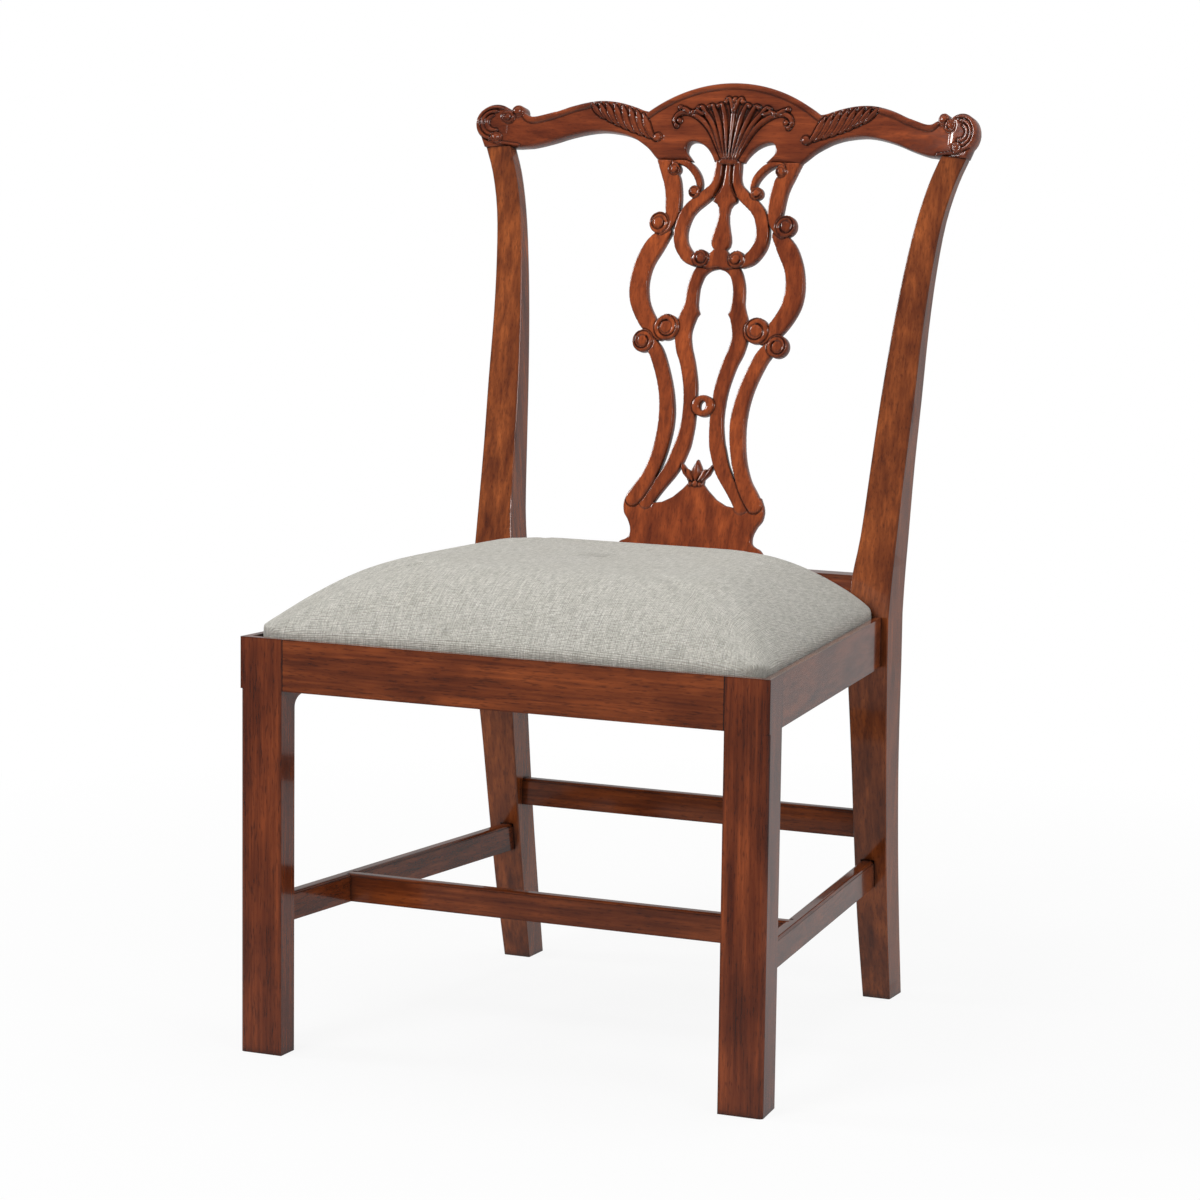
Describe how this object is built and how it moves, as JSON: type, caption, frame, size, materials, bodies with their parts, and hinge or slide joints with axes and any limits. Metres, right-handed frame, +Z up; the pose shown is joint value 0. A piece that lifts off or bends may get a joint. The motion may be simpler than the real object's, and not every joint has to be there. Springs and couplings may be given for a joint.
{
  "type": "side chair",
  "caption": "Mahogany side chair with a pierced scrolled splat, carved serpentine crest rail, square legs, low stretchers and a lift-out upholstered seat.",
  "frame": {"origin": "on the floor, in the middle of the outer box as seen from above", "axes": "+Z up, the chair faces -Y, +X to the viewer's right when the chair is seen from the front"},
  "size_m": [0.5992, 0.6262, 1.003],
  "materials": {
    "mahogany": "satin lacquer over dark antiqued mahogany",
    "inner_wood": "plain unfinished hardwood",
    "screw_steel": "plain zinc plated",
    "linen": "light grey plain-weave linen",
    "webbing": "woven jute",
    "padding": "foam under wadding",
    "dust_cloth": "thin black cloth"
  },
  "bodies": {
    "frame": {"front_leg_left": "mahogany", "front_leg_right": "mahogany", "rear_leg_left": "mahogany", "rear_leg_right": "mahogany", "front_seat_rail": "mahogany", "back_seat_rail": "mahogany", "side_seat_rail_left": "mahogany", "side_seat_rail_right": "mahogany", "shoe": "mahogany", "splat": "mahogany", "crest_rail": "mahogany", "side_stretcher_left": "mahogany", "side_stretcher_right": "mahogany", "middle_stretcher": "mahogany", "rear_stretcher": "mahogany", "corner_block_front_left": "inner_wood", "corner_block_front_right": "inner_wood", "corner_block_rear_left": "inner_wood", "corner_block_rear_right": "inner_wood", "block_screws": "screw_steel"},
    "slip_seat": {"seat_frame_front": "inner_wood", "seat_frame_back": "inner_wood", "seat_frame_left": "inner_wood", "seat_frame_right": "inner_wood", "seat_webbing": "webbing", "seat_padding": "padding", "seat_cover": "linen", "dust_cover": "dust_cloth"}
  },
  "joints": [
    {"name": "seat_lift_out", "type": "slide", "parent": "frame", "child": "slip_seat", "axis": [0, 0, 1], "range_m": [0, 0.15]}
  ]
}
